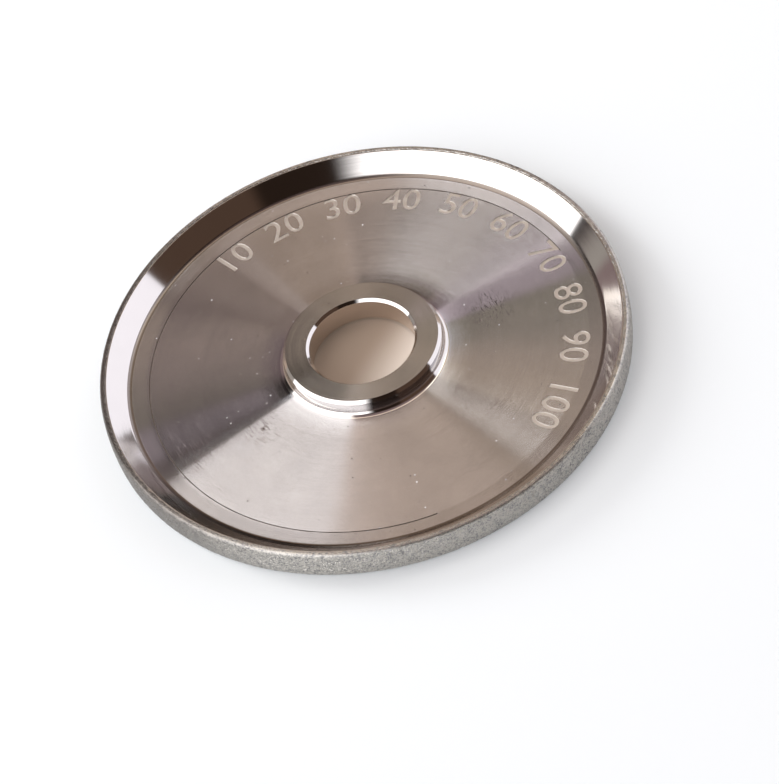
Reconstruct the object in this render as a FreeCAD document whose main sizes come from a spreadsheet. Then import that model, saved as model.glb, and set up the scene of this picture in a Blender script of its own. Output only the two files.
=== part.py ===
import FreeCAD, Part
import math
import os

import Sketcher

# Sharpening wheel with a plated abrasive rim, in millimetres.
# The axis is +Z. The origin is the centre of the bore in the plane of the flat back seat,
# and the recessed front faces up.

document = FreeCAD.newDocument("sharpening_wheel")

# Driving dimensions
DIMENSIONS = [
    ("wheel_diameter", 100.0, "over the abrasive, at the top of the crown"),
    ("wheel_width", 6.0, "back seat to front land"),
    ("crown_radius", 22.0, "convex outside, sets the hollow that the wheel grinds"),
    ("corner_chamfer", 0.3, "crown to land, over the abrasive"),
    ("coat_thickness", 0.15, "plated abrasive layer"),
    ("rim_chamfer", 0.2, "crown to land, on the steel under the abrasive"),
    ("land_width", 1.4, "flat land beside the bevel"),
    ("mask_margin", 0.2, "steel left bare between the abrasive and the bevel"),
    ("back_relief", 0.3, "back land of the body, set back from the seat"),
    ("recess_depth", 3.7, "front land to web"),
    ("bevel_angle", 45.0, "bevel from the land down to the web, in degrees"),
    ("recess_corner_radius", 1.2, "bevel to web"),
    ("boss_diameter", 30.0, "raised boss round the bore"),
    ("boss_set_back", 0.5, "boss face below the front land"),
    ("boss_chamfer", 0.55, "outer edge of the boss face"),
    ("boss_foot_radius", 1.2, "boss to web"),
    ("bore_diameter", 20.0, "spindle bore"),
    ("bore_chamfer", 0.5, "both ends of the bore"),
    ("scribed_diameter", 82.4, "fine circle turned into the web"),
    ("scribed_width", 0.4, "mouth of the scribed circle"),
    ("scribed_depth", 0.2, "depth of the scribed circle"),
]

sheet = document.addObject("Spreadsheet::Sheet", "sizes")
size = {}
for row, (alias, value, note) in enumerate(DIMENSIONS, start=1):
    sheet.set(f"A{row}", str(value))
    sheet.setAlias(f"A{row}", alias)
    sheet.set(f"B{row}", note)
    size[alias] = value
document.recompute()

# Worked-out places, as formulas on the sheet. The same text gives each sketch its
# expression and, through value_of, the place where its geometry is first drawn.
FRONT = "sizes.wheel_width"
BODY_FRONT = "sizes.wheel_width - sizes.coat_thickness"
BODY_BACK = "sizes.back_relief"
COAT_BACK = "sizes.back_relief - sizes.coat_thickness"
LAND_EDGE = "sizes.wheel_diameter / 2 - sizes.land_width"
WEB = "sizes.wheel_width - sizes.recess_depth"
BOSS_FACE = "sizes.wheel_width - sizes.boss_set_back"
BOSS = "sizes.boss_diameter / 2"
BORE = "sizes.bore_diameter / 2"
COAT_EDGE = f"{LAND_EDGE} + sizes.mask_margin"
CROWN_CENTRE = "sizes.wheel_diameter / 2 - sizes.crown_radius"
MID_WIDTH = f"({FRONT} + {COAT_BACK}) / 2"
STEEL_CROWN = "sizes.crown_radius - sizes.coat_thickness"

# Where the end points of a line or an arc are found in a sketch
START, END, CENTRE = range(1, 4)
SKETCH_ORIGIN = (-1, 1)
RADIUS_AXIS = -1


def value_of(formula):
    """Number that a formula on the sheet stands for."""
    text = formula
    for alias in sorted(size, key=len, reverse=True):
        text = text.replace(f"sizes.{alias}", f"({size[alias]})")
    return float(FreeCAD.Units.Quantity(text).Value)


def section(body, name):
    """Empty sketch in the half section of a turned piece: x is radius, y is height."""
    sketch = body.newObject("Sketcher::SketchObject", name)
    for feature in body.Origin.OriginFeatures:
        if feature.Role == "XZ_Plane":
            sketch.AttachmentSupport = [(feature, "")]
    sketch.MapMode = "FlatFace"
    return sketch


def drive(sketch, constraint, formula):
    """Add a dimension and bind it to its formula on the sheet."""
    index = sketch.addConstraint(constraint)
    sketch.setExpression(f"Constraints[{index}]", formula)


def hold_radius(sketch, point, formula):
    """Fix how far a sketch point lies from the wheel's axis."""
    drive(sketch, Sketcher.Constraint("DistanceX", *SKETCH_ORIGIN, *point, value_of(formula)), formula)


def hold_height(sketch, point, formula):
    """Fix how high a sketch point lies above the back seat."""
    drive(sketch, Sketcher.Constraint("DistanceY", *SKETCH_ORIGIN, *point, value_of(formula)), formula)


def hold_on_seat(sketch, point):
    """Keep a sketch point in the plane of the back seat."""
    sketch.addConstraint(Sketcher.Constraint("PointOnObject", *point, RADIUS_AXIS))


def line(sketch, start, end):
    """Straight edge between two (radius, height) places."""
    return sketch.addGeometry(Part.LineSegment(FreeCAD.Vector(*start, 0), FreeCAD.Vector(*end, 0)), False)


def arc(sketch, centre, radius, first, last):
    """Round edge, counter-clockwise from the first angle to the last, in radians."""
    circle = Part.Circle(FreeCAD.Vector(*centre, 0), FreeCAD.Vector(0, 0, 1), radius)
    return sketch.addGeometry(Part.ArcOfCircle(circle, first, last), False)


def join(sketch, first, second):
    """Make two ends meet."""
    sketch.addConstraint(Sketcher.Constraint("Coincident", *first, *second))


def blend(sketch, first, second):
    """Make two ends meet without a corner."""
    sketch.addConstraint(Sketcher.Constraint("Tangent", *first, *second))


def level(sketch, edge):
    sketch.addConstraint(Sketcher.Constraint("Horizontal", edge))


def upright(sketch, edge):
    sketch.addConstraint(Sketcher.Constraint("Vertical", edge))


def slope(sketch, edge, formula):
    """Lean a straight edge by an angle from the radius axis."""
    degrees = value_of(formula)
    constraint = Sketcher.Constraint("Angle", RADIUS_AXIS, START, edge, START, math.radians(degrees))
    drive(sketch, constraint, f"({formula}) * 1deg")


def rim_outline(sketch, crown_radius, chamfer, back_land, front_land, back_start, front_end):
    """Back land, chamfer, crown, chamfer and front land of the rim, each size a formula.

    Returns the two land lines. Their inner ends are left for the caller to place.
    """
    centre = (value_of(CROWN_CENTRE), value_of(MID_WIDTH))
    radius = value_of(crown_radius)
    leg = value_of(chamfer)
    low = value_of(back_land)
    high = value_of(front_land)
    rise = high - leg - centre[1]
    drop = centre[1] - low - leg
    high_x = centre[0] + math.sqrt(radius ** 2 - rise ** 2)
    low_x = centre[0] + math.sqrt(radius ** 2 - drop ** 2)

    back = line(sketch, (back_start, low), (low_x - leg, low))
    low_edge = line(sketch, (low_x - leg, low), (low_x, low + leg))
    crown = arc(sketch, centre, radius, -math.asin(drop / radius), math.asin(rise / radius))
    high_edge = line(sketch, (high_x, high - leg), (high_x - leg, high))
    front = line(sketch, (high_x - leg, high), (front_end, high))

    edges = [back, low_edge, crown, high_edge, front]
    for edge, following in zip(edges, edges[1:]):
        join(sketch, (edge, END), (following, START))
    level(sketch, back)
    level(sketch, front)
    hold_height(sketch, (back, START), back_land)
    hold_height(sketch, (front, END), front_land)
    hold_radius(sketch, (crown, CENTRE), CROWN_CENTRE)
    hold_height(sketch, (crown, CENTRE), MID_WIDTH)
    drive(sketch, Sketcher.Constraint("Radius", crown, radius), crown_radius)
    for edge, inner, outer in ((low_edge, START, END), (high_edge, END, START)):
        run = Sketcher.Constraint("DistanceX", edge, inner, edge, outer, leg)
        climb = Sketcher.Constraint("DistanceY", edge, START, edge, END, leg)
        drive(sketch, run, chamfer)
        drive(sketch, climb, chamfer)
    return back, front


def steel_rim(sketch, back_start, front_end):
    """Rim of the steel, which the abrasive is plated onto."""
    lands = (BODY_BACK, BODY_FRONT)
    return rim_outline(sketch, STEEL_CROWN, "sizes.rim_chamfer", *lands, back_start, front_end)


def finished_rim(sketch, back_start, front_end):
    """Surface of the abrasive."""
    lands = (COAT_BACK, FRONT)
    return rim_outline(
        sketch, "sizes.crown_radius", "sizes.corner_chamfer", *lands, back_start, front_end
    )


def turn(body, kind, name, sketch):
    """Turn a section about the wheel's axis: a Revolution adds it and a Groove cuts it."""
    feature = body.newObject(f"PartDesign::{kind}", name)
    feature.Profile = (sketch, [""])
    feature.ReferenceAxis = (sketch, ["V_Axis"])
    feature.Angle = 360.0
    before = 0.0 if kind == "Revolution" else body.Shape.Volume
    document.recompute()
    gained = feature.Shape.Volume - before
    wrong_way = gained <= 0 if kind == "Revolution" else gained >= 0
    if wrong_way:
        raise RuntimeError(f"{name} changed the volume by {gained:.3f} cubic mm")
    return feature


# Wheel body, turned from one steel blank
wheel_body = document.addObject("PartDesign::Body", "wheel_body")
wheel_body.Label = "wheel_body"


def blank_section():
    """Full-width disc: chamfered bore, flat back seat, relieved back land and crowned rim."""
    sketch = section(wheel_body, "blank_section")
    bore = value_of(BORE)
    chamfer = size["bore_chamfer"]
    land_edge = value_of(LAND_EDGE)
    relief = size["back_relief"]
    front = value_of(BODY_FRONT)

    wall = line(sketch, (bore, front), (bore, chamfer))
    bore_edge = line(sketch, (bore, chamfer), (bore + chamfer, 0))
    seat = line(sketch, (bore + chamfer, 0), (land_edge, 0))
    step = line(sketch, (land_edge, 0), (land_edge + relief, relief))
    back_land, face = steel_rim(sketch, land_edge + relief, bore)
    join(sketch, (wall, END), (bore_edge, START))
    join(sketch, (bore_edge, END), (seat, START))
    join(sketch, (seat, END), (step, START))
    join(sketch, (step, END), (back_land, START))
    join(sketch, (face, END), (wall, START))

    upright(sketch, wall)
    hold_radius(sketch, (wall, END), BORE)
    hold_height(sketch, (wall, END), "sizes.bore_chamfer")
    hold_on_seat(sketch, (bore_edge, END))
    hold_radius(sketch, (bore_edge, END), f"{BORE} + sizes.bore_chamfer")
    hold_on_seat(sketch, (seat, END))
    hold_radius(sketch, (seat, END), LAND_EDGE)
    hold_radius(sketch, (step, END), f"{LAND_EDGE} + sizes.back_relief")
    return sketch


def recess_section():
    """Front recess: boss wall, rounded foot, flat web, rounded corner and 45 degree bevel."""
    sketch = section(wheel_body, "recess_section")
    boss = value_of(BOSS)
    web = value_of(WEB)
    front = value_of(BODY_FRONT)
    land_edge = value_of(LAND_EDGE)
    foot = size["boss_foot_radius"]
    corner = size["recess_corner_radius"]
    angle = math.radians(size["bevel_angle"])
    web_edge = land_edge - (front - web) / math.tan(angle)
    setback = corner * math.tan(angle / 2)
    corner_centre = (web_edge - setback, web + corner)
    bevel_foot = (web_edge + setback * math.cos(angle), web + setback * math.sin(angle))

    mouth = line(sketch, (land_edge, front), (boss, front))
    wall = line(sketch, (boss, front), (boss, web + foot))
    root = arc(sketch, (boss + foot, web + foot), foot, math.pi, 1.5 * math.pi)
    floor = line(sketch, (boss + foot, web), (web_edge - setback, web))
    bend = arc(sketch, corner_centre, corner, -math.pi / 2, angle - math.pi / 2)
    bevel = line(sketch, bevel_foot, (land_edge, front))

    join(sketch, (mouth, END), (wall, START))
    blend(sketch, (wall, END), (root, START))
    blend(sketch, (root, END), (floor, START))
    blend(sketch, (floor, END), (bend, START))
    blend(sketch, (bend, END), (bevel, START))
    join(sketch, (bevel, END), (mouth, START))
    level(sketch, mouth)
    upright(sketch, wall)
    level(sketch, floor)

    hold_radius(sketch, (mouth, START), LAND_EDGE)
    hold_height(sketch, (mouth, START), BODY_FRONT)
    hold_radius(sketch, (mouth, END), BOSS)
    hold_height(sketch, (floor, END), WEB)
    drive(sketch, Sketcher.Constraint("Radius", root, foot), "sizes.boss_foot_radius")
    drive(sketch, Sketcher.Constraint("Radius", bend, corner), "sizes.recess_corner_radius")
    slope(sketch, bevel, "sizes.bevel_angle")
    return sketch


def boss_face_section():
    """Cut that lowers the boss face and chamfers its outer edge and the mouth of the bore."""
    sketch = section(wheel_body, "boss_face_section")
    bore = value_of(BORE)
    boss = value_of(BOSS)
    top = value_of(BODY_FRONT)
    face = value_of(BOSS_FACE)
    inner = size["bore_chamfer"]
    outer = size["boss_chamfer"]

    mouth = line(sketch, (boss, top), (bore, top))
    bore_side = line(sketch, (bore, top), (bore, face - inner))
    bore_edge = line(sketch, (bore, face - inner), (bore + inner, face))
    flat = line(sketch, (bore + inner, face), (boss - outer, face))
    boss_edge = line(sketch, (boss - outer, face), (boss, face - outer))
    boss_side = line(sketch, (boss, face - outer), (boss, top))
    edges = [mouth, bore_side, bore_edge, flat, boss_edge, boss_side]
    for edge, following in zip(edges, edges[1:] + edges[:1]):
        join(sketch, (edge, END), (following, START))

    level(sketch, mouth)
    level(sketch, flat)
    upright(sketch, bore_side)
    upright(sketch, boss_side)
    hold_radius(sketch, (bore_side, START), BORE)
    hold_radius(sketch, (boss_side, END), BOSS)
    hold_height(sketch, (mouth, START), BODY_FRONT)
    hold_height(sketch, (flat, START), BOSS_FACE)
    hold_radius(sketch, (flat, START), f"{BORE} + sizes.bore_chamfer")
    hold_height(sketch, (bore_side, END), f"{BOSS_FACE} - sizes.bore_chamfer")
    hold_radius(sketch, (flat, END), f"{BOSS} - sizes.boss_chamfer")
    hold_height(sketch, (boss_side, START), f"{BOSS_FACE} - sizes.boss_chamfer")
    return sketch


def scribed_section():
    """V-shaped line turned into the web. The V also rises above the web by its own depth."""
    sketch = section(wheel_body, "scribed_section")
    middle = "sizes.scribed_diameter / 2"
    web = value_of(WEB)
    centre = value_of(middle)
    width = size["scribed_width"]
    depth = size["scribed_depth"]

    lid = line(sketch, (centre + width, web + depth), (centre - width, web + depth))
    inside = line(sketch, (centre - width, web + depth), (centre, web - depth))
    outside = line(sketch, (centre, web - depth), (centre + width, web + depth))
    join(sketch, (lid, END), (inside, START))
    join(sketch, (inside, END), (outside, START))
    join(sketch, (outside, END), (lid, START))

    hold_radius(sketch, (inside, END), middle)
    hold_height(sketch, (inside, END), f"{WEB} - sizes.scribed_depth")
    hold_radius(sketch, (lid, END), f"{middle} - sizes.scribed_width")
    hold_height(sketch, (lid, END), f"{WEB} + sizes.scribed_depth")
    hold_radius(sketch, (lid, START), f"{middle} + sizes.scribed_width")
    hold_height(sketch, (lid, START), f"{WEB} + sizes.scribed_depth")
    return sketch


turn(wheel_body, "Revolution", "turned_blank", blank_section())
turn(wheel_body, "Groove", "front_recess", recess_section())
turn(wheel_body, "Groove", "boss_face", boss_face_section())
turn(wheel_body, "Groove", "scribed_circle", scribed_section())

# Abrasive coat, plated onto the crowned outside and both lands of the body
abrasive_coat = document.addObject("PartDesign::Body", "abrasive_coat")
abrasive_coat.Label = "abrasive_coat"


def coat_section():
    """Thin skin between the steel rim and the finished surface, with bevelled ends."""
    sketch = section(abrasive_coat, "coat_section")
    thick = size["coat_thickness"]
    front_inner = value_of(COAT_EDGE)
    back_inner = front_inner + size["back_relief"]
    skin_back, skin_front = finished_rim(sketch, back_inner + thick, front_inner + thick)
    bond_back, bond_front = steel_rim(sketch, back_inner, front_inner)
    front_end = line(sketch, (front_inner + thick, value_of(FRONT)), (front_inner, value_of(BODY_FRONT)))
    back_end = line(sketch, (back_inner, value_of(BODY_BACK)), (back_inner + thick, value_of(COAT_BACK)))
    join(sketch, (skin_front, END), (front_end, START))
    join(sketch, (front_end, END), (bond_front, END))
    join(sketch, (bond_back, START), (back_end, START))
    join(sketch, (back_end, END), (skin_back, START))

    hold_radius(sketch, (bond_front, END), COAT_EDGE)
    hold_radius(sketch, (skin_front, END), f"{COAT_EDGE} + sizes.coat_thickness")
    hold_radius(sketch, (bond_back, START), f"{COAT_EDGE} + sizes.back_relief")
    hold_radius(sketch, (skin_back, START), f"{COAT_EDGE} + sizes.back_relief + sizes.coat_thickness")
    return sketch


turn(abrasive_coat, "Revolution", "plated_skin", coat_section())

# Check every object, then write each piece
pieces = [wheel_body, abrasive_coat]
for item in document.Objects:
    if "Invalid" in item.State or "Error" in item.State:
        raise RuntimeError(f"{item.Name} failed: {item.State}")
os.makedirs("parts", exist_ok=True)
for piece in pieces:
    if piece.Shape.isNull() or not piece.Shape.isValid():
        raise RuntimeError(f"{piece.Label} has no valid shape")
for piece in pieces:
    piece.Shape.exportStep(f"parts/{piece.Label}.step")
    box = piece.Shape.optimalBoundingBox(False)
    print(
        f"{piece.Label}: {piece.Shape.Volume:.1f} cubic mm, {len(piece.Shape.Solids)} solid, "
        f"{box.XLength:.2f} x {box.YLength:.2f} x {box.ZLength:.2f} mm"
    )
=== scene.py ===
import math

import bmesh
import bpy
import numpy as np
from mathutils import Matrix, Vector


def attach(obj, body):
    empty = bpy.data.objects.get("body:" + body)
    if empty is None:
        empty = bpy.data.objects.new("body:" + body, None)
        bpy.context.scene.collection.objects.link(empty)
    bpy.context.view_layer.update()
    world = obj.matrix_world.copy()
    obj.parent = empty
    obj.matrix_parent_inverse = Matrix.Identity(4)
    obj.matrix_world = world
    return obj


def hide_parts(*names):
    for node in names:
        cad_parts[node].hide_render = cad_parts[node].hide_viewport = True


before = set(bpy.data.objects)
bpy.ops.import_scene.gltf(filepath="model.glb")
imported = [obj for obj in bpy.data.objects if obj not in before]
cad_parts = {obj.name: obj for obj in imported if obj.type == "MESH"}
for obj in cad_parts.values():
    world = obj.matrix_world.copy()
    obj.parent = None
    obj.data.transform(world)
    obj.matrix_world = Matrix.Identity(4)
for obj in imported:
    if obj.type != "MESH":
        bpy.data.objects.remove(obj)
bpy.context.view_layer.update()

MM = 0.001

# Camera: it looks down at the wheel at 47 degrees from half a metre away, a little rolled.
# The length of the lens and the place that it looks at are given in pixels of the picture.
LOOK_AT = Vector((0, 0, 6)) * MM
CAMERA_DISTANCE = 534.4 * MM
CAMERA_ELEVATION = math.radians(47.33)
CAMERA_ROLL = math.radians(-16.567)
FOCAL_PIXELS = 2886.8
IMAGE_SIZE = (779, 784)
LOOK_AT_PIXEL = (360.80, 338.85)
SENSOR_WIDTH = 36.0
CLIP_START = 10 * MM

scene = bpy.context.scene
scene.view_settings.view_transform = "Standard"
ahead = Vector((0, math.cos(CAMERA_ELEVATION), -math.sin(CAMERA_ELEVATION)))
level_up = Vector((0, math.sin(CAMERA_ELEVATION), math.cos(CAMERA_ELEVATION)))
level_right = Vector((1, 0, 0))
right = level_right * math.cos(CAMERA_ROLL) + level_up * math.sin(CAMERA_ROLL)
up = level_up * math.cos(CAMERA_ROLL) - level_right * math.sin(CAMERA_ROLL)
aimed = Matrix((right, up, -ahead)).transposed().to_quaternion()
aside = Vector((
    (LOOK_AT_PIXEL[0] - IMAGE_SIZE[0] / 2) / FOCAL_PIXELS,
    (IMAGE_SIZE[1] / 2 - LOOK_AT_PIXEL[1]) / FOCAL_PIXELS,
    -1,
))
camera = bpy.data.objects.new("camera", bpy.data.cameras.new("camera"))
camera.data.sensor_width = SENSOR_WIDTH
camera.data.lens = SENSOR_WIDTH * FOCAL_PIXELS / max(IMAGE_SIZE)
camera.data.clip_start = CLIP_START
camera.rotation_mode = "QUATERNION"
camera.rotation_quaternion = aimed @ aside.rotation_difference(Vector((0, 0, -1)))
camera.location = LOOK_AT - ahead * CAMERA_DISTANCE
scene.collection.objects.link(camera)
scene.camera = camera


# Light tent: soft panels all round the wheel, which its polished steel mirrors.
# Two lit walls and the dark far and near sides make the bright and dark arcs on the steel.
# A turn is in degrees: 0 at the left, 90 at the far side, 180 at the right, 270 at the near side.
def linear(hex_colour):
    """sRGB hex colour as the linear RGBA that a shader reads."""
    channels = [int(hex_colour[i:i + 2], 16) / 255 for i in (1, 3, 5)]
    curve = [c / 12.92 if c <= 0.04045 else ((c + 0.055) / 1.055) ** 2.4 for c in channels]
    return (*curve, 1.0)


def node(tree, kind, inputs={}, **settings):
    """Add one node, give it its settings, and fill or link its inputs."""
    made = tree.nodes.new(kind)
    for name, value in settings.items():
        setattr(made, name, value)
    for key, value in inputs.items():
        if isinstance(value, bpy.types.Node):
            value = next(output for output in value.outputs if output.enabled)
        if isinstance(value, bpy.types.NodeSocket):
            tree.links.new(value, made.inputs[key])
        else:
            made.inputs[key].default_value = value
    return made


UP = Vector((0, 0, 1))
RIGHT = Vector((1, 0, 0))
FAR = Vector((0, 1, 0))
# direction in which the flat steel mirrors the tent for this camera
MIRROR_Y = math.cos(CAMERA_ELEVATION)
MIRRORED = Vector((0, MIRROR_Y, math.sin(CAMERA_ELEVATION)))


def compass(turn):
    """Level direction at a turn."""
    return Vector((-math.cos(math.radians(turn)), math.sin(math.radians(turn)), 0))


def edge(turn, inside, softness):
    """Upright edge of a panel, where the web mirrors it at a turn. The turn inside is on it."""
    normal = Vector((compass(turn).y, -compass(turn).x, 0))
    if normal.dot(compass(inside)) < 0:
        normal.negate()
    return normal, normal.y * MIRROR_Y, softness


def lit(brightness, tint):
    """Colour of a panel that shines at a brightness, where 1 is white paper."""
    return [channel * brightness for channel in linear(tint)[:3]] + [1.0]


# Each edge is a direction, how far along it the panel starts, and how soft the start is.
OFF_THE_TABLE = (UP, 0.30, 0.5)
FAR_HALF = (FAR, 0.20, 0.3)
UNDER_THE_ROOF = (-UP, -0.86, 0.16)
# the few degrees of the camera's own side that the flat boss face mirrors, and a little more
BOSS_DISC = (MIRRORED, 0.99875, 0.0008)
WIDER_BOSS_DISC = (MIRRORED, 0.9965, 0.002)
FAR_SIDE = (0.27, "#FFDFE0")
# Each panel: its brightness, its tint and the edges that bound it. A later one covers an earlier.
PANELS = [
    # far side, paler and warmer towards the right
    (0.37, "#FFE0D2", [edge(35, 45, 0.06), edge(55, 45, 0.03)]),
    (0.52, "#FFE0C6", [edge(60, 90, 0.03), edge(152, 125, 0.05)]),
    (0.86, "#FFE2D0", [edge(97, 105, 0.05), edge(114, 105, 0.04)]),
    (0.035, "#E8D4CC", [edge(98, 125, 0.04), edge(152, 125, 0.03), (-UP, -0.54, 0.08)]),
    # right side
    (0.44, "#FFF3DA", [edge(176, 190, 0.02), edge(205, 190, 0.10), OFF_THE_TABLE]),
    (0.80, "#FFE8CF", [edge(198, 250, 0.10), edge(339, 250, 0.008), FAR_HALF]),
    (0.84, "#FFEBF3", [edge(163.5, 168, 0.02), edge(176.5, 168, 0.02), OFF_THE_TABLE]),
    # near side
    (1.42, "#FFE9D8", [edge(240, 270, 0.08), edge(339, 270, 0.008), FAR_HALF]),
    (1.25, "#FFEDDE", [edge(226.5, 230, 0.01), edge(236, 230, 0.02), FAR_HALF]),
    # darkest part of the far side, beside the left wall, with a paler strip low down
    (0.03, "#E8D4CC", [edge(339, 350, 0.008), edge(358, 350, 0.10), (UP, 0.20, 0.20)]),
    (0.40, "#FFF6EE", [edge(342, 350, 0.02), edge(357, 350, 0.06), (-UP, -0.22, 0.10)]),
    # dark near side behind the camera, to the right
    (0.19, "#B8937E", [edge(223, 250, 0.02), edge(283, 250, 0.22), UNDER_THE_ROOF]),
    (0.05, "#B8937E", [edge(256, 270, 0.10), edge(283, 250, 0.22), UNDER_THE_ROOF]),
    # lit left wall and the part of the roof beside it
    (2.10, "#FFFAF7", [edge(339, 315, 0.008), edge(291, 315, 0.07), (UP, 0.60, 0.10)]),
    (2.60, "#FDFCFF", [edge(342, 315, 0.02), edge(279, 315, 0.22), (-UP, -0.72, 0.10)]),
    # lit right wall
    (1.40, "#F8F6FF", [edge(223.5, 195, 0.02), edge(165, 195, 0.05), (RIGHT, 0.45, 0.06)]),
    # brightest strip of that wall, which only the foot of the boss and the slope round it mirror
    (2.30, "#FFFAF2", [
        edge(200, 220, 0.10), edge(236, 220, 0.05),
        (FAR, 0.25, 0.10), (-FAR, -0.40, 0.08), (UP, 0.62, 0.10),
    ]),
    # narrow gap in the far side
    (0.66, "#FFE8DA", [edge(54, 60, 0.010), edge(62, 54, 0.010), (-UP, -0.68, 0.05)]),
    # camera's own side as the flat boss face shows it, darker to the left
    (0.70, "#F4E6DA", [BOSS_DISC]),
    (0.95, "#F4E6DA", [BOSS_DISC, edge(205, 250, 0.01), edge(292, 250, 0.01)]),
    (0.36, "#F4E6DA", [BOSS_DISC, edge(345, 15, 0.01), edge(48, 15, 0.02)]),
    (0.06, "#F4E6DA", [WIDER_BOSS_DISC, edge(298, 330, 0.01), edge(352, 330, 0.01)]),
    (0.26, "#F4E6DA", [BOSS_DISC, edge(118, 135, 0.01), edge(152, 135, 0.01)]),
]

world = bpy.data.worlds.new("light_tent")
scene.world = world
world.use_nodes = True
tree = world.node_tree
tree.nodes.clear()
direction = node(tree, "ShaderNodeTexCoord").outputs["Generated"]
light = lit(*FAR_SIDE)
for brightness, tint, edges in PANELS:
    cover = 1.0
    for normal, start, softness in edges:
        along = node(
            tree, "ShaderNodeVectorMath", {0: direction, 1: normal}, operation="DOT_PRODUCT"
        )
        side = node(
            tree, "ShaderNodeMapRange",
            {"Value": along, "From Min": start - softness / 2, "From Max": start + softness / 2},
            interpolation_type="SMOOTHSTEP",
        )
        cover = node(tree, "ShaderNodeMath", {0: cover, 1: side}, operation="MULTIPLY")
    panel = lit(brightness, tint)
    light = node(tree, "ShaderNodeMix", {0: cover, 6: light, 7: panel}, data_type="RGBA")
background = node(tree, "ShaderNodeBackground", {"Color": light, "Strength": 1.0})
node(tree, "ShaderNodeOutputWorld", {"Surface": background})


# Lamp: a soft round one, low at the far left, a metre away. It gives the wheel its shadow
# and has no reflection of its own, because the steel mirrors the tent alone.
LAMP_TURN = 40
LAMP_HEIGHT = math.radians(23)
LAMP_WIDTH = 0.42
LAMP_WATTS = 6.8

lamp_way = (compass(LAMP_TURN) + UP * math.tan(LAMP_HEIGHT)).normalized()
lamp = bpy.data.objects.new("lamp", bpy.data.lights.new("lamp", "AREA"))
lamp.data.shape = "DISK"
lamp.data.size = LAMP_WIDTH
lamp.data.energy = LAMP_WATTS
lamp.location = lamp_way
lamp.rotation_mode = "QUATERNION"
lamp.rotation_quaternion = lamp_way.to_track_quat("Z", "Y")
lamp.visible_glossy = False
scene.collection.objects.link(lamp)


# Table: matt white paper that keeps the wheel's shadow. The round patch of it that shows
# through the bore carries painted shade in beige, darkest to the upper left and palest towards the
# lower right.
TABLE_REACH = 6.0
PAPER = "#D4D8DA"
PAPER_ROUGHNESS = 0.9
PAPER_SPECULAR = 0.1
PAPER_GLOW = 0.28
# painted shade of the bore on the paper: its radius and its darkest and palest colours
BORE_SHADE_RADIUS = 20 * MM
BORE_SHADE_DARK = "#908072"
BORE_SHADE_PALE = "#CEC4BA"
PALER_WAY = (0.75, -0.66, 0.0)
PALER_FROM = -2 * MM
PALEST_AT = 11 * MM


def new_material(name, **sockets):
    """Material, its tree and its shader, with the shader's plain sockets set."""
    made = bpy.data.materials.new(name)
    made.use_nodes = True
    shader = made.node_tree.nodes["Principled BSDF"]
    for label, value in sockets.items():
        shader.inputs[label.replace("_", " ")].default_value = value
    return made, made.node_tree, shader


square = ((-1, -1), (1, -1), (1, 1), (-1, 1))
floor_mesh = bpy.data.meshes.new("floor")
floor_mesh.from_pydata(
    [(x * TABLE_REACH, y * TABLE_REACH, 0) for x, y in square], [], [(0, 1, 2, 3)]
)
floor = bpy.data.objects.new("floor", floor_mesh)
scene.collection.objects.link(floor)
table, tree, paper = new_material(
    "white_table_paper", Roughness=PAPER_ROUGHNESS, Specular_IOR_Level=PAPER_SPECULAR
)
# painted shade: inside the patch the paper is coloured beige, darker towards the upper left
spot = node(tree, "ShaderNodeTexCoord").outputs["Object"]
from_axis = node(tree, "ShaderNodeVectorMath", {0: spot}, operation="LENGTH")
in_bore_shade = node(tree, "ShaderNodeMath", {0: from_axis, 1: BORE_SHADE_RADIUS}, operation="LESS_THAN")
along = node(tree, "ShaderNodeVectorMath", {0: spot, 1: PALER_WAY}, operation="DOT_PRODUCT")
paling = node(
    tree, "ShaderNodeMapRange", {"Value": along, "From Min": PALER_FROM, "From Max": PALEST_AT},
    interpolation_type="SMOOTHSTEP",
)
bore_shade = node(
    tree, "ShaderNodeMix", {0: paling, 6: linear(BORE_SHADE_DARK), 7: linear(BORE_SHADE_PALE)},
    data_type="RGBA",
)
sheet = node(tree, "ShaderNodeMix", {0: in_bore_shade, 6: linear(PAPER), 7: bore_shade}, data_type="RGBA")
tree.links.new(sheet.outputs[2], paper.inputs["Base Color"])
# seen straight, in a reflection or through glass, the paper is a shade lighter
seen = node(tree, "ShaderNodeLightPath").outputs
sight = 0.0
for ray in ("Is Camera Ray", "Is Glossy Ray", "Is Transmission Ray"):
    sight = node(tree, "ShaderNodeMath", {0: sight, 1: seen[ray]}, operation="MAXIMUM")
lift = node(tree, "ShaderNodeMath", {0: sight, 1: PAPER_GLOW}, operation="MULTIPLY")
tree.links.new(sheet.outputs[2], paper.inputs["Emission Color"])
tree.links.new(lift.outputs[0], paper.inputs["Emission Strength"])
floor_mesh.materials.append(table)


# Wheel body: one steel turning, faced and bored in a lathe and polished on its bevels.
# The round tool leaves fine rings on the flat faces, and the edges are only just broken.
# Its sizes are in mm.
BODY_SEGMENTS = 512
SMOOTH_UP_TO = math.radians(24)
LEAST_STEP = math.radians(8)
SUPPORT_SHARE = 0.35
MERGE_WITHIN = 1e-7

BORE_RADIUS = 10.0
BORE_CHAMFER = 0.5
BOSS_RADIUS = 15.0
BOSS_FACE = 5.5
BOSS_CHAMFER = 0.55
BOSS_ROUNDING = 0.06
WEB = 2.3
RECESS_ROUNDING = 1.20
BROKEN_EDGE = 0.05
LAND_EDGE = 48.6
LAND_ROUNDING = 0.07
STEEL_LAND = 5.85
BACK_RELIEF = 0.3
BACK_ROUNDING = 0.08
# the convex outside: an arc that ends in a narrow chamfer at each side
CROWN_CENTRE = (28.0, 3.075)
STEEL_CROWN = 21.85
CROWN_LOW = 0.5
CROWN_HIGH = 5.65
CROWN_STEPS = 9
CHAMFER_END = 49.498

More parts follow.
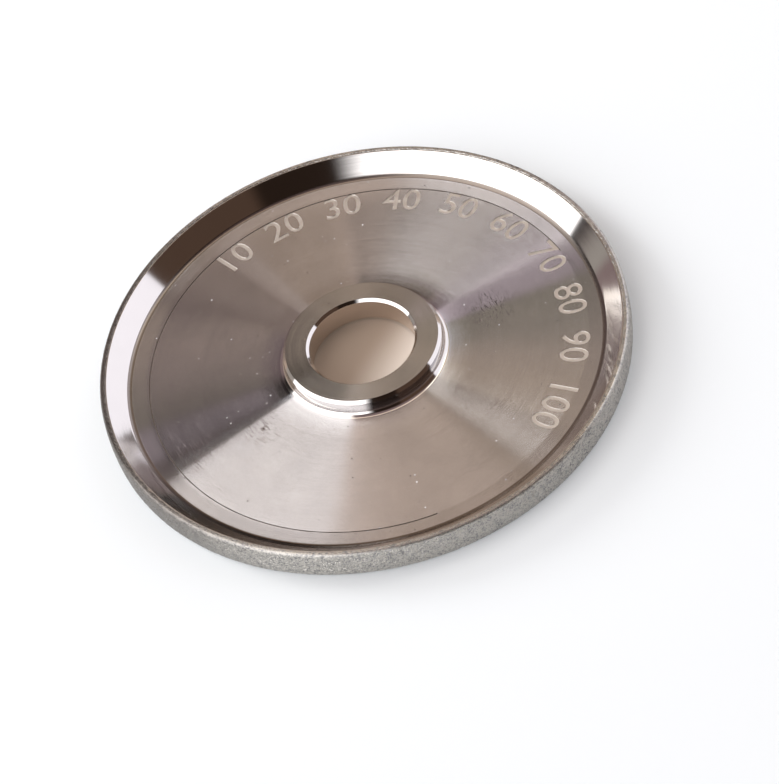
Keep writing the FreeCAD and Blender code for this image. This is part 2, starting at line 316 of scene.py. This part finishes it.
# Grooves of the tool, scratches, specks and stains in the steel, all drawn coarser than life,
# because the real ones would not show.
GROOVE_PITCH = 0.08
RINGS_A_RADIAN = 0.5
RING_LEVELS = (0.2, 0.8)
SCRATCH_PITCH = 0.22
SCRATCHES_A_RADIAN = 15.0
SCRATCH_LEVELS = (0.57, 0.66)
RUBBED_ALL_OVER = 0.08
SPECK_SPACING = 2.0
SPECK_LEVELS = (0.055, 0.08)
SPECK_TO_SCRATCH = 4.0
STAIN_SIZE = 12.5
STAIN_LEVELS = (0.35, 0.7)


def about_axis(tree, place):
    """A point's offset from the axis, the way outward there and its radius."""
    level = {0: place, 1: (1.0, 1.0, 0.0)}
    flat = node(tree, "ShaderNodeVectorMath", level, operation="MULTIPLY")
    outward = node(tree, "ShaderNodeVectorMath", {0: flat}, operation="NORMALIZE")
    radius = node(tree, "ShaderNodeVectorMath", {0: flat}, operation="LENGTH")
    return flat, outward, radius


def noise_round(tree, outward, girth, a_radian, pitch, **settings):
    """Noise in strokes round the axis: so many a radian along them, and a pitch in mm across."""
    along = node(tree, "ShaderNodeVectorMath", {0: outward, "Scale": a_radian}, operation="SCALE")
    across = node(tree, "ShaderNodeMath", {0: girth, 1: 1.0 / (pitch * MM)}, operation="MULTIPLY")
    across = node(tree, "ShaderNodeCombineXYZ", {"Z": across})
    course = node(tree, "ShaderNodeVectorMath", {0: along, 1: across}, operation="ADD")
    noise = node(tree, "ShaderNodeTexNoise", {"Vector": course, "Scale": 1.0, **settings})
    return noise.outputs["Fac"]


def groove_slope(tree, outward, girth, lean, sweep, ring_pitch, ring_depth):
    """Slope outward of the tool's fine grooves and of coarser rings."""
    rings = noise_round(
        tree, outward, girth, RINGS_A_RADIAN, ring_pitch, Detail=3.0, Roughness=0.7
    )
    low, high = RING_LEVELS
    slope = node(
        tree, "ShaderNodeMapRange",
        {"Value": rings, "From Min": low, "From Max": high,
         "To Min": lean - ring_depth, "To Max": lean + ring_depth},
        clamp=False,
    )
    count = node(
        tree, "ShaderNodeMath", {0: girth, 1: 1.0 / (GROOVE_PITCH * MM)}, operation="MULTIPLY"
    )
    share = node(tree, "ShaderNodeMath", {0: count}, operation="FRACT")
    flank = node(tree, "ShaderNodeMapRange", {"Value": share, "To Min": -sweep, "To Max": sweep})
    return node(tree, "ShaderNodeMath", {0: slope, 1: flank}, operation="ADD")


def scratch_slope(tree, flat, outward, girth, marks, scuffs):
    """Slope of scratches some 2 mm long round the axis, faint all over and thick in scuffs."""
    rubbed = RUBBED_ALL_OVER
    for x, y, reach in scuffs:
        middle = (x * MM, y * MM, 0.0)
        apart = node(tree, "ShaderNodeVectorMath", {0: flat, 1: middle}, operation="DISTANCE")
        near = node(
            tree, "ShaderNodeMapRange", {"Value": apart, "From Min": reach * MM, "From Max": 0.0},
            interpolation_type="SMOOTHSTEP",
        )
        rubbed = node(tree, "ShaderNodeMath", {0: rubbed, 1: near}, operation="ADD")
    strokes = noise_round(
        tree, outward, girth, SCRATCHES_A_RADIAN, SCRATCH_PITCH, Detail=2.0, Roughness=0.6
    )
    low, high = SCRATCH_LEVELS
    stroke = node(
        tree, "ShaderNodeMapRange",
        {"Value": strokes, "From Min": low, "From Max": high, "To Max": -marks},
    )
    return node(tree, "ShaderNodeMath", {0: stroke, 1: rubbed}, operation="MULTIPLY")


def speck_tilt(tree, spot, marks):
    """Tilt of specks a quarter of a millimetre across, each turned its own way."""
    cells = {"Vector": spot, "Scale": 1.0 / (SPECK_SPACING * MM)}
    dots = node(tree, "ShaderNodeTexVoronoi", cells).outputs
    core, rim = SPECK_LEVELS
    dot = node(
        tree, "ShaderNodeMapRange",
        {"Value": dots["Distance"], "From Min": core, "From Max": rim,
         "To Min": SPECK_TO_SCRATCH * marks, "To Max": 0.0},
    )
    half = {0: dots["Color"], 1: (0.5, 0.5, 0.5)}
    way = node(tree, "ShaderNodeVectorMath", half, operation="SUBTRACT")
    return node(tree, "ShaderNodeVectorMath", {0: way, "Scale": dot}, operation="SCALE")


def steel(name, colour, roughness, anisotropy, lean=0.0, sweep=0.0, ring_pitch=0.3,
          ring_depth=0.0, stain=0.0, turns=(), marks=0.0, scuffs=()):
    """Bare metal cut on a lathe: grooves that spread the light outward from the axis.

    The grooves slope from lean - sweep to lean + sweep, and the coarser rings by ring_depth.
    Each of turns is (from radius, to radius, change of lean), each of scuffs (x, y, reach).
    marks is how far scratches and specks turn the light, and stain how dark thin stains are.
    """
    made, tree, metal = new_material(
        name, Metallic=1.0, Roughness=roughness, Anisotropic=anisotropy
    )
    spot = node(tree, "ShaderNodeTexCoord").outputs["Object"]
    flat, outward, radius = about_axis(tree, spot)
    tree.links.new(outward.outputs[0], metal.inputs["Tangent"])
    height = node(tree, "ShaderNodeSeparateXYZ", {0: spot}).outputs["Z"]
    girth = node(tree, "ShaderNodeMath", {0: radius, 1: height}, operation="ADD")
    slope = groove_slope(tree, outward, girth, lean, sweep, ring_pitch, ring_depth)
    changes = [
        node(
            tree, "ShaderNodeMapRange",
            {"Value": radius, "From Min": begin * MM, "From Max": end * MM,
             "To Min": 0.0, "To Max": change},
        )
        for begin, end, change in turns
    ]
    changes.append(scratch_slope(tree, flat, outward, girth, marks, scuffs))
    for change in changes:
        slope = node(tree, "ShaderNodeMath", {0: slope, 1: change}, operation="ADD")
    tilt = node(tree, "ShaderNodeVectorMath", {0: outward, "Scale": slope}, operation="SCALE")
    facing = node(tree, "ShaderNodeNewGeometry").outputs["Normal"]
    specks = speck_tilt(tree, spot, marks)
    tilt = node(tree, "ShaderNodeVectorMath", {0: tilt, 1: specks}, operation="ADD")
    leaning = node(tree, "ShaderNodeVectorMath", {0: facing, 1: tilt}, operation="ADD")
    leaning = node(tree, "ShaderNodeVectorMath", {0: leaning}, operation="NORMALIZE")
    tree.links.new(leaning.outputs[0], metal.inputs["Normal"])
    patches = node(
        tree, "ShaderNodeTexNoise",
        {"Vector": spot, "Scale": 1.0 / (STAIN_SIZE * MM), "Detail": 5.0, "Roughness": 0.6},
    )
    low, high = STAIN_LEVELS
    shade = node(
        tree, "ShaderNodeMapRange",
        {"Value": patches.outputs["Fac"], "From Min": low, "From Max": high,
         "To Min": 1.0, "To Max": 1.0 - stain},
    )
    base = linear(colour)[:3]
    tone = node(tree, "ShaderNodeVectorMath", {0: base, "Scale": shade}, operation="SCALE")
    tree.links.new(tone.outputs[0], metal.inputs["Base Color"])
    return made


# The web's slanted grooves give it its fan of light and dark. The boss is faced finer, the
# bevels are polished, and the engraving is frosted by its cutter.
web_steel = steel(
    "turned_steel_web", "#BEBCBD", 0.09, 1.0,
    lean=0.32, sweep=0.22, ring_pitch=0.25, ring_depth=0.03, stain=0.10,
    turns=[(15.0, 16.8, -0.15), (16.8, 21.0, -0.13), (41.8, 42.2, -0.07)],
    marks=0.34, scuffs=[(-35, -12, 6), (-22, -12, 5), (25, 1, 7)],
)
boss_steel = steel(
    "faced_steel_boss", "#B6B0AA", 0.08, 0.8,
    lean=0.005, sweep=0.03, ring_pitch=0.25, ring_depth=0.01, stain=0.15,
    marks=0.06, scuffs=[(-10, -8.5, 5)],
)
polished_steel = steel(
    "polished_steel_bevel", "#DCD8D4", 0.09, 0.4, ring_pitch=0.4, ring_depth=0.012, stain=0.05
)
bored_steel = steel(
    "bored_steel", "#EDE4DC", 0.25, 0.5, ring_pitch=0.25, ring_depth=0.06, stain=0.10
)
engraved_steel = steel(
    "frosted_engraving", "#DAD6D1", 0.36, 0.0, ring_pitch=0.2, ring_depth=0.20
)
# painted shade: the scribed groove's steel is coloured darker than the web around it
scribed_shade_steel = steel("scribed_line_painted_shade", "#7E7772", 0.45, 0.0, ring_pitch=0.2, ring_depth=0.10)
# painted shade: the steel in the recess corner at the foot of the bevel is coloured darker
recess_shade_steel = steel(
    "painted_shade_recess_corner", "#8A817A", 0.22, 0.0,
    ring_pitch=0.2, ring_depth=0.05, stain=0.1,
)
rim_steel = steel(
    "plated_steel_land", "#A9A199", 0.3, 0.3, ring_pitch=0.2, ring_depth=0.10, stain=0.2
)


def rounded(corners):
    """Closed half section. Each corner is (radius, height, rounding), taken anticlockwise."""
    outline = []
    count = len(corners)
    for index, (x, y, rounding) in enumerate(corners):
        here = Vector((x, y))
        back = Vector(corners[index - 1][:2]) - here
        on = Vector(corners[(index + 1) % count][:2]) - here
        if not rounding:
            outline.append(here)
            continue
        back.normalize()
        on.normalize()
        half = back.angle(on) / 2
        reach = rounding / math.tan(half)
        centre = here + (back + on).normalized() * (rounding / math.sin(half))
        start = here + back * reach - centre
        sweep = start.angle_signed(here + on * reach - centre)
        steps = max(2, math.ceil(abs(sweep) / LEAST_STEP))
        # one more point a little way along each side keeps the shading of flat faces flat
        support = SUPPORT_SHARE * rounding
        outline.append(here + back * (reach + support))
        for step in range(steps + 1):
            turn = -sweep * step / steps
            outline.append(centre + Matrix.Rotation(turn, 2) @ start)
        outline.append(here + on * (reach + support))
    return [tuple(point) for point in outline]


def crown(centre, radius, low, high, steps):
    """Points up the convex outside between two heights."""
    return [
        (centre[0] + math.sqrt(radius ** 2 - (height - centre[1]) ** 2), height, 0)
        for height in np.linspace(low, high, steps).tolist()
    ]


def new_piece(name, points):
    """Object at the origin that holds only points, in mm, for a modifier to work on."""
    mesh = bpy.data.meshes.new(name)
    mesh.from_pydata([tuple(c * MM for c in point) for point in points], [], [])
    piece = bpy.data.objects.new(name, mesh)
    scene.collection.objects.link(piece)
    return piece


def tree_with(name, **sizes):
    """Geometry Nodes tree with a geometry in and out and one named input for each size."""
    kinds = {
        float: "NodeSocketFloat", int: "NodeSocketInt",
        bpy.types.Material: "NodeSocketMaterial",
    }
    made = bpy.data.node_groups.new(name, "GeometryNodeTree")
    for way in ("OUTPUT", "INPUT"):
        made.interface.new_socket("Geometry", in_out=way, socket_type="NodeSocketGeometry")
    for label, value in sizes.items():
        kind = kinds[type(value)]
        made.interface.new_socket(label, in_out="INPUT", socket_type=kind).default_value = value
    return made, node(made, "NodeGroupInput").outputs


def end_tree(made, geometry, material):
    """End a Geometry Nodes tree in real geometry with its material on it."""
    real = node(made, "GeometryNodeRealizeInstances", {"Geometry": geometry})
    coloured = node(made, "GeometryNodeSetMaterial", {"Geometry": real, "Material": material})
    node(made, "NodeGroupOutput", {0: coloured})


def grow(piece, made, **sizes):
    """Give a piece a Geometry Nodes modifier and set its named inputs."""
    modifier = piece.modifiers.new(made.name, "NODES")
    modifier.node_group = made
    for socket in made.interface.items_tree:
        if socket.name in sizes:
            modifier[socket.identifier] = sizes[socket.name]


def settle(piece):
    """Turn the evaluated piece into a plain mesh and drop its modifiers."""
    graph = bpy.context.evaluated_depsgraph_get()
    mesh = bpy.data.meshes.new_from_object(piece.evaluated_get(graph))
    piece.modifiers.clear()
    piece.data = mesh
    return mesh


# Turns a row of points (radius, 0, height) about the axis, as a lathe does.
turned, given = tree_with("turned_about_axis", Points=10, Segments=64, Finish=web_steel)
across = node(turned, "ShaderNodeMath", {0: given["Segments"], 1: 1.0}, operation="ADD")
grid = node(turned, "GeometryNodeMeshGrid", {"Vertices X": given["Points"], "Vertices Y": across})
index = node(turned, "GeometryNodeInputIndex")
row = node(turned, "ShaderNodeMath", {0: index, 1: across}, operation="DIVIDE")
row = node(turned, "ShaderNodeMath", {0: row}, operation="FLOOR")
column = node(turned, "ShaderNodeMath", {0: index, 1: across}, operation="MODULO")
place = node(turned, "GeometryNodeInputPosition")
sample = node(
    turned, "GeometryNodeSampleIndex",
    {"Geometry": given["Geometry"], "Value": place, "Index": row}, data_type="FLOAT_VECTOR",
)
share = node(turned, "ShaderNodeMath", {0: column, 1: given["Segments"]}, operation="DIVIDE")
angle = node(turned, "ShaderNodeMath", {0: share, 1: math.tau}, operation="MULTIPLY")
swung = node(
    turned, "ShaderNodeVectorRotate", {"Vector": sample, "Angle": angle}, rotation_type="Z_AXIS"
)
ring = node(
    turned, "GeometryNodeSetPosition", {"Geometry": grid.outputs["Mesh"], "Position": swung}
)
closed = node(
    turned, "GeometryNodeMergeByDistance", {"Geometry": ring, "Distance": MERGE_WITHIN}
)
outward = node(turned, "GeometryNodeFlipFaces", {"Mesh": closed})
end_tree(turned, outward, given["Finish"])

outline = rounded([
    (BORE_RADIUS + BORE_CHAMFER, 0, BROKEN_EDGE),
    (LAND_EDGE, 0, BACK_ROUNDING),
    (LAND_EDGE + BACK_RELIEF, BACK_RELIEF, BROKEN_EDGE),
    (CHAMFER_END, BACK_RELIEF, 0),
    *crown(CROWN_CENTRE, STEEL_CROWN, CROWN_LOW, CROWN_HIGH, CROWN_STEPS),
    (CHAMFER_END, STEEL_LAND, 0),
    (LAND_EDGE, STEEL_LAND, LAND_ROUNDING),
    (LAND_EDGE - (STEEL_LAND - WEB), WEB, RECESS_ROUNDING),
    (BOSS_RADIUS, WEB, RECESS_ROUNDING),
    (BOSS_RADIUS, BOSS_FACE - BOSS_CHAMFER, BOSS_ROUNDING),
    (BOSS_RADIUS - BOSS_CHAMFER, BOSS_FACE, BROKEN_EDGE),
    (BORE_RADIUS + BORE_CHAMFER, BOSS_FACE, BROKEN_EDGE),
    (BORE_RADIUS, BOSS_FACE - BORE_CHAMFER, BROKEN_EDGE),
    (BORE_RADIUS, BORE_CHAMFER, BROKEN_EDGE),
])
outline.append(outline[0])
body = new_piece("turned_wheel_body", [(r, 0, z) for r, z in outline])
grow(body, turned, Points=len(outline), Segments=BODY_SEGMENTS, Finish=web_steel)

# Index numbers, engraved round the web with a fine circle over them: plain tens, tops outward.
# The engraving sits a little off the centre of the wheel, and its circle fades out on the right.
NUMBERS = "10 20 30 40 50 60 70 80 90 100"
NUMBER_HEIGHT = 5.4
NUMBER_BASE = 36.3
FIRST_TURN = 57.0
LAST_TURN = 226.0
ENGRAVED_DEPTH = 0.12
STROKE_GAIN = 0.003
ROUGH_DEPTH = 0.5
CURVE_STEPS = 4
ENGRAVING_CENTRE = np.array((0.53, -0.38))
CIRCLE_RADIUS = 41.75
CIRCLE_WIDTH = 0.2
CIRCLE_TURNS = (-95.0, 165.0)
CIRCLE_STEPS = 300
CUTTER_TOP = WEB + 1.0
CUTTER_FOOT = WEB - ENGRAVED_DEPTH

cutters = []
for place_on_arc, sign in enumerate(NUMBERS):
    if sign == " ":
        continue
    writing = bpy.data.curves.new("sign", "FONT")
    writing.body = sign
    writing.offset = STROKE_GAIN
    writing.extrude = ROUGH_DEPTH
    writing.align_x = "CENTER"
    writing.resolution_u = CURVE_STEPS
    made = bpy.data.objects.new("sign", writing)
    scene.collection.objects.link(made)
    graph = bpy.context.evaluated_depsgraph_get()
    mesh = bpy.data.meshes.new_from_object(made.evaluated_get(graph))
    bpy.data.objects.remove(made)
    flat = np.array([v.co for v in mesh.vertices])
    tall = flat[:, 1].max() - flat[:, 1].min()
    flat[:, 0] -= (flat[:, 0].max() + flat[:, 0].min()) / 2
    flat[:, 1] -= flat[:, 1].min()
    flat[:, :2] *= NUMBER_HEIGHT / tall
    turn = FIRST_TURN + (LAST_TURN - FIRST_TURN) * place_on_arc / (len(NUMBERS) - 1)
    outward = np.array((-math.cos(math.radians(turn)), math.sin(math.radians(turn))))
    beside = np.array((outward[1], -outward[0]))
    spots = np.outer(flat[:, 1] + NUMBER_BASE, outward) + np.outer(flat[:, 0], beside)
    heights = np.where(flat[:, 2] > 0, CUTTER_TOP, CUTTER_FOOT)
    points = np.column_stack((spots + ENGRAVING_CENTRE, heights)) * MM
    cutters.append((points, [tuple(p.vertices) for p in mesh.polygons]))


def engrave(name, shapes):
    """Cut a group of closed shapes out of the body, by a modifier that is applied later."""
    mesh = bpy.data.meshes.new(name)
    points = []
    faces = []
    for spots, loops in shapes:
        faces += [tuple(v + len(points) for v in loop) for loop in loops]
        points += spots.tolist()
    mesh.from_pydata(points, [], faces)
    cutter = bpy.data.objects.new(name, mesh)
    scene.collection.objects.link(cutter)
    work = bmesh.new()
    work.from_mesh(mesh)
    bmesh.ops.remove_doubles(work, verts=work.verts, dist=MERGE_WITHIN)
    bmesh.ops.recalc_face_normals(work, faces=work.faces)
    work.to_mesh(mesh)
    work.free()
    cut = body.modifiers.new(name, "BOOLEAN")
    cut.object = cutter
    cut.solver = "MANIFOLD"
    return cutter


# the circle's cutter is a thin curved bar of square section
turns = np.radians(np.linspace(*CIRCLE_TURNS, CIRCLE_STEPS))
ways = np.column_stack((-np.cos(turns), np.sin(turns)))
section = [(-0.5, CUTTER_FOOT), (0.5, CUTTER_FOOT), (0.5, CUTTER_TOP), (-0.5, CUTTER_TOP)]
bar = []
for side, height in section:
    spots = ways * (CIRCLE_RADIUS + side * CIRCLE_WIDTH) + ENGRAVING_CENTRE
    bar.append(np.column_stack((spots, np.full(CIRCLE_STEPS, height))))
count = CIRCLE_STEPS
loops = [
    (k * count + i, k * count + i + 1, (k + 1) % 4 * count + i + 1, (k + 1) % 4 * count + i)
    for k in range(4) for i in range(count - 1)
]
loops.append((0, count, 2 * count, 3 * count))
loops.append((count - 1, 4 * count - 1, 3 * count - 1, 2 * count - 1))
cutting = [
    engrave("number_cutter", cutters),
    engrave("circle_cutter", [(np.vstack(bar) * MM, loops)]),
]
body_mesh = settle(body)
for cutter in cutting:
    bpy.data.objects.remove(cutter)

# Each face takes its steel from where its middle is, with a little room for rounded edges.
CLEAR = 0.02
TOUCH = 0.005
LEAST_RISE = 0.001
BEVEL_REACH = 4.0
FOOT_REACH = 1.0
CORNER_BEFORE = 0.5
CORNER_SIZE = 0.36
ENGRAVED_FROM = NUMBER_BASE - 2
ZONES = [
    web_steel, boss_steel, polished_steel, bored_steel,
    engraved_steel, scribed_shade_steel, recess_shade_steel, rim_steel,
]
body_mesh.materials.clear()
for material in ZONES:
    body_mesh.materials.append(material)
middles = np.zeros(len(body_mesh.polygons) * 3)
body_mesh.polygons.foreach_get("center", middles)
middles = middles.reshape(-1, 3) / MM
radii = np.hypot(middles[:, 0], middles[:, 1])
heights = middles[:, 2]
foot = LAND_EDGE - (STEEL_LAND - WEB)
raised = heights > WEB + CLEAR
on_boss = (radii < BOSS_RADIUS) & (radii > BORE_RADIUS + BORE_CHAMFER - 2 * TOUCH)
near_foot = (radii > foot - CORNER_BEFORE) & (radii < foot + CORNER_SIZE)
low_down = (heights > WEB + LEAST_RISE) & (heights < WEB + CORNER_SIZE)
sunk = (heights < WEB - TOUCH) & (heights > CUTTER_FOOT - 2 * TOUCH) & (radii > ENGRAVED_FROM)
from_centre = np.hypot(*(middles[:, :2] - ENGRAVING_CENTRE).T)
on_circle = np.abs(from_centre - CIRCLE_RADIUS) < CIRCLE_WIDTH / 2 + 2 * TOUCH
zone = np.zeros(len(radii), dtype=np.int32)
zone[raised & (radii > LAND_EDGE - BEVEL_REACH)] = ZONES.index(polished_steel)
zone[raised & (radii < BOSS_RADIUS + FOOT_REACH)] = ZONES.index(polished_steel)
zone[(heights > BOSS_FACE - CLEAR) & on_boss] = ZONES.index(boss_steel)
# painted shade in the recess corner
zone[near_foot & low_down] = ZONES.index(recess_shade_steel)
zone[radii < BORE_RADIUS + CLEAR] = ZONES.index(bored_steel)
zone[radii > LAND_EDGE + CLEAR] = ZONES.index(rim_steel)
zone[sunk] = ZONES.index(engraved_steel)
# painted shade in the scribed groove
zone[sunk & on_circle] = ZONES.index(scribed_shade_steel)
body_mesh.polygons.foreach_set("material_index", zone)
body_mesh.shade_smooth()
body_mesh.set_sharp_from_angle(angle=SMOOTH_UP_TO)
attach(body, "root")
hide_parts("wheel_body")


# Abrasive coat: hard grit held to the crowned rim by a layer of nickel plate.
# It is grey and gritty, wraps over both corners and ends in an uneven edge short of the bevel.
# Its sizes are in mm, and its grains are drawn coarser than life, because real ones wouldn't show.
COAT_SEGMENTS = 1900
COAT_CROWN = 22.0
COAT_LAND = 6.0
COAT_BACK = 0.15
COAT_EDGE = 48.8
COAT_BACK_EDGE = 49.25
CROWN_ENDS = 0.45
COAT_STEPS = 30
# rounded end of the plating on the front land
COAT_LIP = (COAT_EDGE + 0.12, COAT_LAND - 0.02)
# radius and drop of the points that bend the coat over each corner
CORNER_BEND = [(49.40, 0.0), (49.60, 0.07), (49.76, 0.22)]
# inner face, a few hundredths of a millimetre inside the steel
COAT_FOOT = (49.1, 0.28)
COAT_SEAT = [(COAT_EDGE, STEEL_LAND - 0.03), (49.4, 5.7), (49.6, 3.0), (49.4, 0.45), COAT_FOOT]
GRAIN_STEP = 0.165
GRAIN_HEIGHT = 0.022
GRAIN_SPREAD = 0.04
GRAIN_SEED = 4
# the grains lie flatter from the first of these heights to the second, up to the front land
FLATTER_FROM = 5.60
FLATTEST_AT = 5.78
FLATTEST = 0.05
EDGE_WANDER = 0.2
EDGE_FADE = 0.5
FRONT_ABOVE = 5.0
WAVES_A_METRE = 900.0
WAVE_LEVELS = (0.3, 0.7)

PLATE_METALLIC = 0.85
PLATE_ANISOTROPY = 0.7
PLATE_LEAN = 0.03
GRAIN_WIDTH = 0.22
DARK_GRAIN = "#807F80"
PALE_GRAIN = "#C0BCB5"
GRAIN_LEVELS = (0.45, 1.1)
CLOUDS_A_METRE = 700.0
# painted shade on the coat's left side: its colour, its way, its share and its levels
SIDE_SHADE = "#57504B"
SIDE_SHADE_WAY = (-1.0, 0.03, 0.0)
SIDE_SHADE_SHARE = 0.75
SIDE_SHADE_LEVELS = (0.42, 0.95)
# over the first pair of heights the grains lie down, over the second the plate gets glossy
GRAINS_LIE_DOWN = (5.65, 5.90)
GRAIN_TILTS = (0.5, 0.05)
GETS_GLOSSY = (5.95, 5.99)
PLATE_ROUGHNESS = (0.34, 0.16)

# Nickel-bonded grit: grains of two greys, each facing its own way on the crowned outside, but
# nearly level and glossier on the front land, with painted shade on its left side.
plate, tree, surface = new_material(
    "nickel_bonded_grit", Metallic=PLATE_METALLIC, Anisotropic=PLATE_ANISOTROPY
)
spot = node(tree, "ShaderNodeTexCoord").outputs["Object"]
outward = about_axis(tree, spot)[1]
tree.links.new(outward.outputs[0], surface.inputs["Tangent"])
cells = node(tree, "ShaderNodeTexVoronoi", {"Vector": spot, "Scale": 1.0 / (GRAIN_WIDTH * MM)})
cells = cells.outputs["Color"]
pale = node(tree, "ShaderNodeSeparateColor", {0: cells})
patches = node(
    tree, "ShaderNodeTexNoise",
    {"Vector": spot, "Scale": CLOUDS_A_METRE, "Detail": 3.0, "Roughness": 0.6},
)
pale = node(tree, "ShaderNodeMath", {0: pale, 1: patches}, operation="ADD")
low, high = GRAIN_LEVELS
pale = node(tree, "ShaderNodeMapRange", {"Value": pale, "From Min": low, "From Max": high})
grains = node(
    tree, "ShaderNodeMix", {0: pale, 6: linear(DARK_GRAIN), 7: linear(PALE_GRAIN)},
    data_type="RGBA",
)
# the side that has ground most is darker with swarf
# painted shade: the coat is darker towards its left side
side_shade = node(tree, "ShaderNodeVectorMath", {0: outward, 1: SIDE_SHADE_WAY}, operation="DOT_PRODUCT")
low, high = SIDE_SHADE_LEVELS
side_shade = node(
    tree, "ShaderNodeMapRange",
    {"Value": side_shade, "From Min": low, "From Max": high, "To Max": SIDE_SHADE_SHARE},
    interpolation_type="SMOOTHSTEP",
)
grains = node(
    tree, "ShaderNodeMix", {0: side_shade, 6: grains.outputs[2], 7: linear(SIDE_SHADE)}, data_type="RGBA"
)
tree.links.new(grains.outputs[2], surface.inputs["Base Color"])
height = node(tree, "ShaderNodeSeparateXYZ", {0: spot}).outputs["Z"]
rough, gloss = [
    node(
        tree, "ShaderNodeMapRange",
        {"Value": height, "From Min": low * MM, "From Max": high * MM,
         "To Min": first, "To Max": last},
    )
    for (low, high), (first, last) in (
        (GRAINS_LIE_DOWN, GRAIN_TILTS), (GETS_GLOSSY, PLATE_ROUGHNESS),
    )
]
tree.links.new(gloss.outputs[0], surface.inputs["Roughness"])
toss = node(tree, "ShaderNodeVectorMath", {0: cells, 1: (0.5, 0.5, 0.5)}, operation="SUBTRACT")
toss = node(tree, "ShaderNodeVectorMath", {0: toss, "Scale": rough}, operation="SCALE")
lean = node(tree, "ShaderNodeVectorMath", {0: outward, "Scale": PLATE_LEAN}, operation="SCALE")
facet = node(tree, "ShaderNodeNewGeometry").outputs["Normal"]
for push in (toss, lean):
    facet = node(tree, "ShaderNodeVectorMath", {0: facet, 1: push}, operation="ADD")
facet = node(tree, "ShaderNodeVectorMath", {0: facet}, operation="NORMALIZE")
tree.links.new(facet.outputs[0], surface.inputs["Normal"])


def evenly(points, step):
    """The same line with points a step apart, so that the grains on it are of one size."""
    points = np.array(points)
    runs = np.hypot(*np.diff(points, axis=0).T)
    travelled = np.concatenate(([0.0], np.cumsum(runs)))
    stops = np.linspace(0, travelled[-1], max(2, round(travelled[-1] / step) + 1))
    return np.column_stack([np.interp(stops, travelled, points[:, axis]) for axis in (0, 1)])


low = COAT_BACK + CROWN_ENDS
high = COAT_LAND - CROWN_ENDS
skin = [(COAT_BACK_EDGE, COAT_BACK)]
skin += [(r, COAT_BACK + drop) for r, drop in CORNER_BEND]
skin += [(r, z) for r, z, _ in crown(CROWN_CENTRE, COAT_CROWN, low, high, COAT_STEPS)]
skin += [(r, COAT_LAND - drop) for r, drop in reversed(CORNER_BEND)]
skin.append(COAT_LIP)
coat_outline = [COAT_FOOT, *map(tuple, evenly(skin, GRAIN_STEP)), *COAT_SEAT]
coat = new_piece("plated_abrasive_rim", [(r, 0, z) for r, z in coat_outline])
grow(coat, turned, Points=len(coat_outline), Segments=COAT_SEGMENTS, Finish=plate)

# Pushes every point of a skin out or in and sideways by chance, which leaves facets like grains.
grit, given = tree_with(
    "grit", Height=GRAIN_HEIGHT * MM, Spread=GRAIN_SPREAD * MM, Ragged=EDGE_WANDER * MM,
    Seed=GRAIN_SEED, Finish=plate,
)
normal = node(grit, "GeometryNodeInputNormal")
place = node(grit, "GeometryNodeInputPosition")
level = node(grit, "ShaderNodeSeparateXYZ", {0: place}).outputs["Z"]
outward, radius = about_axis(grit, place)[1:]
flatter = node(
    grit, "ShaderNodeMapRange",
    {"Value": level, "From Min": FLATTER_FROM * MM, "From Max": FLATTEST_AT * MM,
     "To Min": 1.0, "To Max": FLATTEST},
)
rise = node(
    grit, "FunctionNodeRandomValue", {"Min": -1.0, "Max": 1.0, "Seed": given["Seed"]},
    data_type="FLOAT",
).outputs[1]
rise = node(grit, "ShaderNodeMath", {0: rise, 1: given["Height"]}, operation="MULTIPLY")
rise = node(grit, "ShaderNodeMath", {0: rise, 1: flatter}, operation="MULTIPLY")
lift = node(grit, "ShaderNodeVectorMath", {0: normal, "Scale": rise}, operation="SCALE")
shove = node(
    grit, "FunctionNodeRandomValue",
    {0: (-1.0, -1.0, -1.0), 1: (1.0, 1.0, 1.0), "Seed": given["Seed"]},
    data_type="FLOAT_VECTOR",
).outputs[0]
spread = node(grit, "ShaderNodeMath", {0: flatter, 1: given["Spread"]}, operation="MULTIPLY")
shove = node(grit, "ShaderNodeVectorMath", {0: shove, "Scale": spread}, operation="SCALE")
# the uneven end of the plating on the front land
ends = node(
    grit, "ShaderNodeMapRange",
    {"Value": radius, "From Min": (COAT_EDGE + EDGE_FADE) * MM, "From Max": COAT_EDGE * MM,
     "To Min": 0.0, "To Max": 1.0},
)
on_front = node(
    grit, "ShaderNodeMath", {0: level, 1: FRONT_ABOVE * MM}, operation="GREATER_THAN"
)
ends = node(grit, "ShaderNodeMath", {0: ends, 1: on_front}, operation="MULTIPLY")
waves = node(
    grit, "ShaderNodeTexNoise",
    {"Vector": place, "Scale": WAVES_A_METRE, "Detail": 4.0, "Roughness": 0.7},
)
low, high = WAVE_LEVELS
bite = node(
    grit, "ShaderNodeMapRange",
    {"Value": waves, "From Min": low, "From Max": high, "To Min": -1.0, "To Max": 1.0},
)
for share in (given["Ragged"], ends):
    bite = node(grit, "ShaderNodeMath", {0: bite, 1: share}, operation="MULTIPLY")
bite = node(grit, "ShaderNodeVectorMath", {0: outward, "Scale": bite}, operation="SCALE")
move = lift
for push in (shove, bite):
    move = node(grit, "ShaderNodeVectorMath", {0: move, 1: push}, operation="ADD")
done = node(grit, "GeometryNodeSetPosition", {"Geometry": given["Geometry"], "Offset": move})
end_tree(grit, done, given["Finish"])
grow(
    coat, grit, Height=GRAIN_HEIGHT * MM, Spread=GRAIN_SPREAD * MM, Ragged=EDGE_WANDER * MM,
    Seed=GRAIN_SEED, Finish=plate,
)
settle(coat)
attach(coat, "root")
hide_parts("abrasive_coat")
